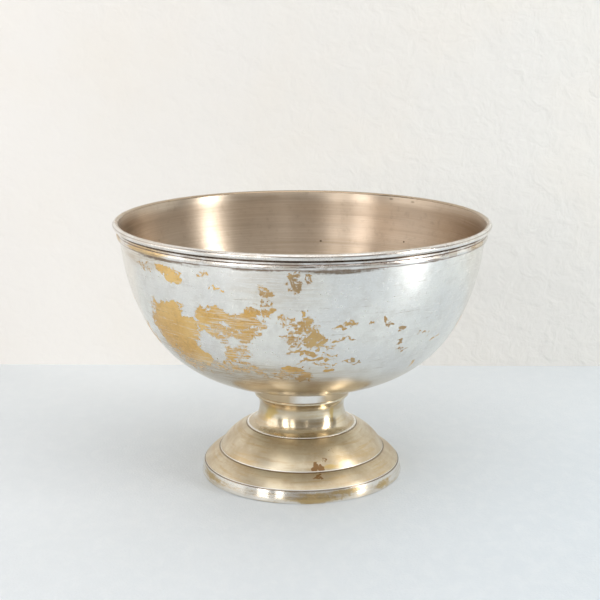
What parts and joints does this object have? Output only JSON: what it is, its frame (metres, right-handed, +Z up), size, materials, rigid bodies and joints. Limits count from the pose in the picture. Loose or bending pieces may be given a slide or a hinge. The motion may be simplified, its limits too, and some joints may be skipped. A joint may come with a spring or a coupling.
{
  "type": "punch bowl",
  "caption": "Footed punch bowl of spun, silver-plated brass: a deep round bowl with a rolled, banded rim on a waisted, stepped hollow foot.",
  "frame": {"origin": "centre of the foot's lower face, on the surface that the bowl stands on", "axes": "+Z up along the bowl's axis of turning; X and Y are level, and the pictured side faces -Y"},
  "size_m": [0.36, 0.36, 0.252],
  "materials": {
    "bowl_plate": "worn silver plate over brass, polished outside and tarnished inside",
    "rim_plate": "worn silver plate over brass, tarnished in the grooves",
    "foot_plate": "thin, warm silver plate over brass, satin",
    "bare_brass": "turned, dull brass",
    "fixing_steel": "plain zinc-plated steel"
  },
  "bodies": {
    "root": {"bowl_shell": "bowl_plate", "rim_wire": "bare_brass", "rim_band": "rim_plate", "neck_collar": "rim_plate", "bowl_boss": "bare_brass", "foot_shell": "foot_plate", "base_ring": "foot_plate", "stud": "fixing_steel", "clamp_plate": "bare_brass", "spring_washer": "fixing_steel", "nut": "fixing_steel"}
  },
  "joints": []
}
